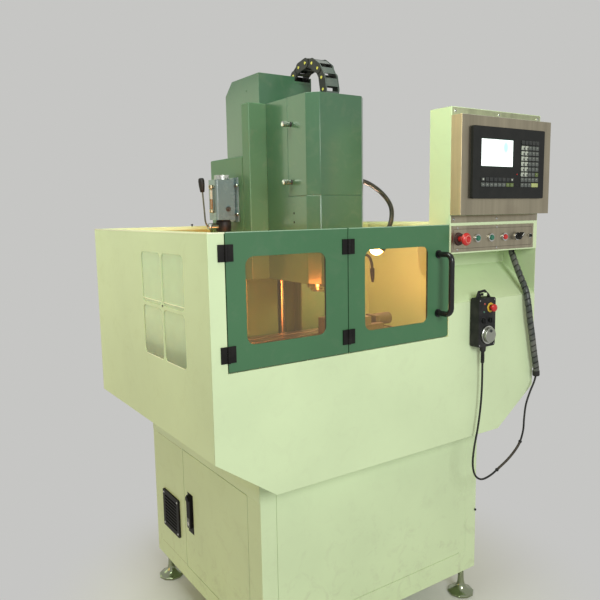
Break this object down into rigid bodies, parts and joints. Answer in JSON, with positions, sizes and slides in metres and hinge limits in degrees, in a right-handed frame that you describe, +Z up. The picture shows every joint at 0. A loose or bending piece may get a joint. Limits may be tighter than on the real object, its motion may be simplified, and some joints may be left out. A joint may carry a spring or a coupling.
{
  "type": "cnc drill mill",
  "caption": "CNC drill mill: cast column and milling head inside an open-topped splash enclosure with bi-fold doors, control box and hanging pendant, on a cabinet base.",
  "frame": {"origin": "floor level, under the centre of the machine without its cords", "axes": "+X to the machine's right seen from its front, +Y to its rear, +Z up"},
  "size_m": [1.32, 1.025, 2.0465],
  "materials": {
    "cream_paint": "satin powder coat",
    "door_paint": "satin powder coat",
    "green_paint": "satin machine enamel",
    "casting_paint": "machine enamel on cast iron",
    "ground_iron": "ground",
    "stainless": "brushed",
    "steel": "machined",
    "chrome": "polished",
    "black_plastic": "moulded",
    "black_metal": "black",
    "panel_black": "matte",
    "key_grey": "matte",
    "screen_white": "lit screen",
    "glazing": "clear acrylic",
    "red_plastic": "gloss",
    "green_plastic": "gloss",
    "grey_plastic": "moulded",
    "lube_paint": "satin",
    "rubber_black": "matte"
  },
  "bodies": {
    "machine": {"base_cabinet": "cream_paint", "base_front_panel": "cream_paint", "levelling_feet": "steel", "fan_housing": "black_plastic", "drive_modules": "grey_plastic", "chip_tray": "cream_paint", "front_panel": "cream_paint", "left_wall": "cream_paint", "right_wall": "cream_paint", "rear_wall": "cream_paint", "side_window_pane": "glazing", "post_hinges": "black_plastic", "control_column": "cream_paint", "panel_box": "stainless", "control_panel": "panel_black", "panel_screen": "screen_white", "keypad": "key_grey", "button_plate": "stainless", "button_bezels": "chrome", "pendant_hook": "cream_paint", "pendant_body": "black_plastic", "cable_glands": "rubber_black", "pendant_cable": "rubber_black", "conduit": "black_plastic", "bed": "casting_paint", "column": "casting_paint", "motor_hood": "green_paint", "z_motor": "black_plastic", "lubricator": "lube_paint"},
    "side_door": {"side_door": "cream_paint"},
    "side_door_latch": {"side_door_latch": "black_plastic"},
    "fan_rotor": {"fan_rotor": "black_plastic"},
    "left_door": {"left_door": "door_paint", "left_door_pane": "glazing", "left_door_hinges": "black_plastic"},
    "right_door": {"right_door": "door_paint", "right_door_pane": "glazing", "right_door_hinges": "black_plastic", "door_handle": "black_metal"},
    "estop_button": {"estop_button": "red_plastic"},
    "green_button_left": {"green_button_left": "green_plastic"},
    "green_button_right": {"green_button_right": "green_plastic"},
    "red_button": {"red_button": "red_plastic"},
    "selector_knob": {"selector_knob": "black_plastic"},
    "pendant_wheel": {"pendant_wheel": "chrome"},
    "pendant_estop": {"pendant_estop": "red_plastic"},
    "pendant_axis_knob": {"pendant_axis_knob": "black_plastic"},
    "pendant_rate_knob": {"pendant_rate_knob": "black_plastic"},
    "saddle": {"saddle": "casting_paint"},
    "table": {"table": "ground_iron", "vise_base": "ground_iron"},
    "vise_jaw": {"vise_jaw": "ground_iron"},
    "head": {"head_carriage": "casting_paint", "head_housing": "casting_paint", "head_cover": "green_paint", "work_lamp": "black_metal", "cable_carrier": "black_plastic"},
    "spindle": {"spindle": "steel"},
    "z_screw": {"z_screw": "steel"},
    "lubricator_lever": {"lubricator_lever": "black_metal"}
  },
  "joints": [
    {"name": "side_door_hinge", "type": "hinge", "parent": "machine", "child": "side_door", "pos_m": [-0.465, -0.2605, 0.367], "axis": [0, 0, 1], "range_deg": [0, 100]},
    {"name": "side_door_latch_turn", "type": "hinge", "parent": "side_door", "child": "side_door_latch", "pos_m": [-0.472, 0.1635, 0.4535], "axis": [-1, 0, 0], "range_deg": [0, 90]},
    {"name": "fan_spin", "type": "hinge", "parent": "machine", "child": "fan_rotor", "pos_m": [-0.472, 0.3355, 0.332], "axis": [1, 0, 0], "continuous": true},
    {"name": "left_door_hinge", "type": "hinge", "parent": "machine", "child": "left_door", "pos_m": [-0.611, -0.449, 1.23], "axis": [0, 0, -1], "range_deg": [0, 100]},
    {"name": "right_door_fold", "type": "hinge", "parent": "left_door", "child": "right_door", "pos_m": [-0.213, -0.449, 1.23], "axis": [0, 0, -1], "range_deg": [0, 165]},
    {"name": "estop_press", "type": "slide", "parent": "machine", "child": "estop_button", "axis": [0, 1, 0], "range_m": [0, 0.005]},
    {"name": "green_left_press", "type": "slide", "parent": "machine", "child": "green_button_left", "axis": [0, 1, 0], "range_m": [0, 0.004], "stiffness_N_per_m": 700},
    {"name": "green_right_press", "type": "slide", "parent": "machine", "child": "green_button_right", "axis": [0, 1, 0], "range_m": [0, 0.004], "stiffness_N_per_m": 700},
    {"name": "red_press", "type": "slide", "parent": "machine", "child": "red_button", "axis": [0, 1, 0], "range_m": [0, 0.004], "stiffness_N_per_m": 700},
    {"name": "selector_turn", "type": "hinge", "parent": "machine", "child": "selector_knob", "pos_m": [0.543, -0.4465, 1.382], "axis": [0, 1, 0], "range_deg": [-90, 0]},
    {"name": "pendant_wheel_turn", "type": "hinge", "parent": "machine", "child": "pendant_wheel", "pos_m": [0.349, -0.4845, 1.057], "axis": [0, 1, 0], "continuous": true},
    {"name": "pendant_estop_press", "type": "slide", "parent": "machine", "child": "pendant_estop", "axis": [0, 1, 0], "range_m": [0, 0.004]},
    {"name": "pendant_axis_turn", "type": "hinge", "parent": "machine", "child": "pendant_axis_knob", "pos_m": [0.331, -0.4845, 1.106], "axis": [0, 1, 0], "range_deg": [-120, 120]},
    {"name": "pendant_rate_turn", "type": "hinge", "parent": "machine", "child": "pendant_rate_knob", "pos_m": [0.364, -0.4845, 1.106], "axis": [0, 1, 0], "range_deg": [-120, 120]},
    {"name": "y_slide", "type": "slide", "parent": "machine", "child": "saddle", "axis": [0, 1, 0], "range_m": [-0.07, 0.07]},
    {"name": "x_slide", "type": "slide", "parent": "saddle", "child": "table", "axis": [1, 0, 0], "range_m": [-0.12, 0.12]},
    {"name": "vise_jaw_slide", "type": "slide", "parent": "table", "child": "vise_jaw", "axis": [1, 0, 0], "range_m": [-0.05, 0.035]},
    {"name": "z_slide", "type": "slide", "parent": "machine", "child": "head", "axis": [0, 0, 1], "range_m": [-0.09, 0.09], "deforming": ["cable_carrier"]},
    {"name": "spindle_spin", "type": "hinge", "parent": "head", "child": "spindle", "pos_m": [0, 0.0015, 1.19], "axis": [0, 0, 1], "continuous": true},
    {"name": "z_screw_spin", "type": "hinge", "parent": "machine", "child": "z_screw", "pos_m": [0, 0.2565, 0.925], "axis": [0, 0, 1], "range_deg": [-6600, 6600]},
    {"name": "lubricator_lever_pull", "type": "hinge", "parent": "machine", "child": "lubricator_lever", "pos_m": [-0.3003, 0.2765, 1.431], "axis": [1, 0, 0], "range_deg": [0, 60]}
  ],
  "couplings": [
    {"joint": "z_screw_spin", "follows": "z_slide", "rad_per_m": -1256.6}
  ]
}
